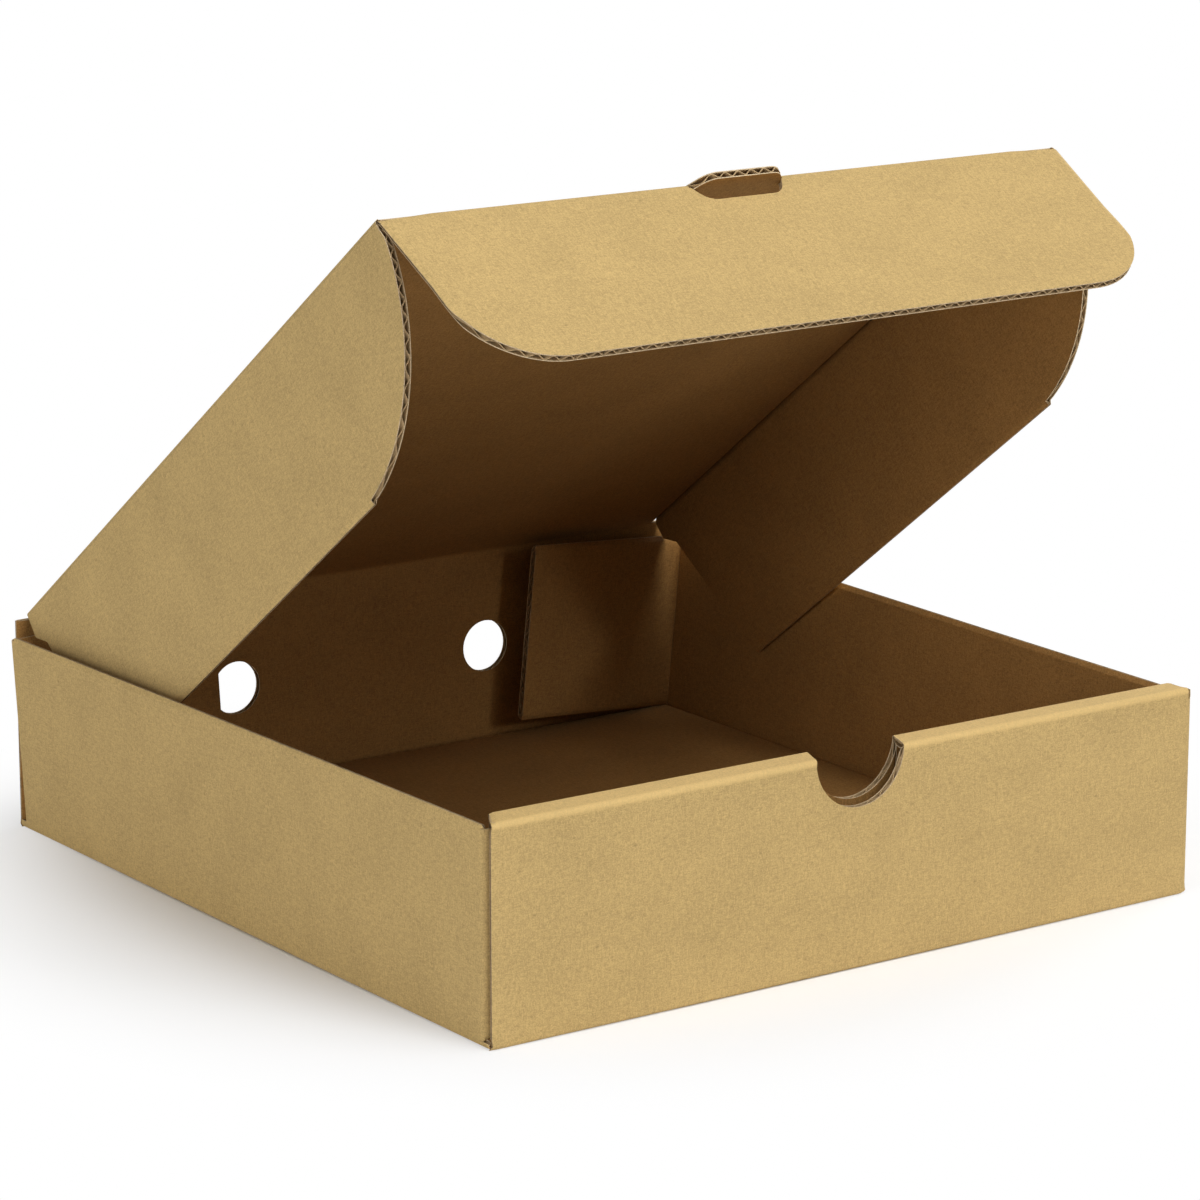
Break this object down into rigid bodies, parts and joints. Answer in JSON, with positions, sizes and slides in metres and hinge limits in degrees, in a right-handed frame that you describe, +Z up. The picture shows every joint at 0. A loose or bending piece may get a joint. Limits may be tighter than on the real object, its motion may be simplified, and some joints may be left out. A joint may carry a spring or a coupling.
{
  "type": "pizza box",
  "caption": "Low square box folded from one sheet of corrugated kraft board, with a hinged lid, tuck and side flaps, a double front wall with a thumb notch, and steam vents.",
  "frame": {"origin": "middle of the base, on the face that the box stands on", "axes": "+Z up, -Y towards the front wall with the thumb notch, +X to the right seen from the front"},
  "size_m": [0.178, 0.189, 0.1584],
  "materials": {
    "kraft_board": "uncoated brown kraft liner, matt, darker on the inside"
  },
  "bodies": {
    "tray": {"tray": "kraft_board"},
    "lid": {"lid": "kraft_board"},
    "tuck_flap": {"tuck_flap": "kraft_board"},
    "left_side_flap": {"left_side_flap": "kraft_board"},
    "right_side_flap": {"right_side_flap": "kraft_board"},
    "rear_left_corner_flap": {"rear_left_corner_flap": "kraft_board"},
    "rear_right_corner_flap": {"rear_right_corner_flap": "kraft_board"}
  },
  "joints": [
    {"name": "lid_hinge", "type": "hinge", "parent": "tray", "child": "lid", "pos_m": [0, 0.0937, 0.0476], "axis": [-1, 0, 0], "range_deg": [-30.6, 143.4]},
    {"name": "tuck_fold", "type": "hinge", "parent": "lid", "child": "tuck_flap", "pos_m": [0, -0.05057, 0.15474], "axis": [-1, 0, 0], "range_deg": [-29.5, 67.5]},
    {"name": "left_side_fold", "type": "hinge", "parent": "lid", "child": "left_side_flap", "pos_m": [-0.0844, 0.02109, 0.10053], "axis": [0, -0.8028, 0.5962], "range_deg": [-1, 65]},
    {"name": "right_side_fold", "type": "hinge", "parent": "lid", "child": "right_side_flap", "pos_m": [0.0844, 0.02109, 0.10053], "axis": [0, 0.8028, -0.5962], "range_deg": [-1, 65]},
    {"name": "rear_left_fold", "type": "hinge", "parent": "tray", "child": "rear_left_corner_flap", "pos_m": [-0.0874, 0.0909, 0.022], "axis": [0, 0, -1], "range_deg": [-1.5, 58.5]},
    {"name": "rear_right_fold", "type": "hinge", "parent": "tray", "child": "rear_right_corner_flap", "pos_m": [0.0874, 0.0909, 0.022], "axis": [0, 0, 1], "range_deg": [-8.5, 51.5]}
  ]
}
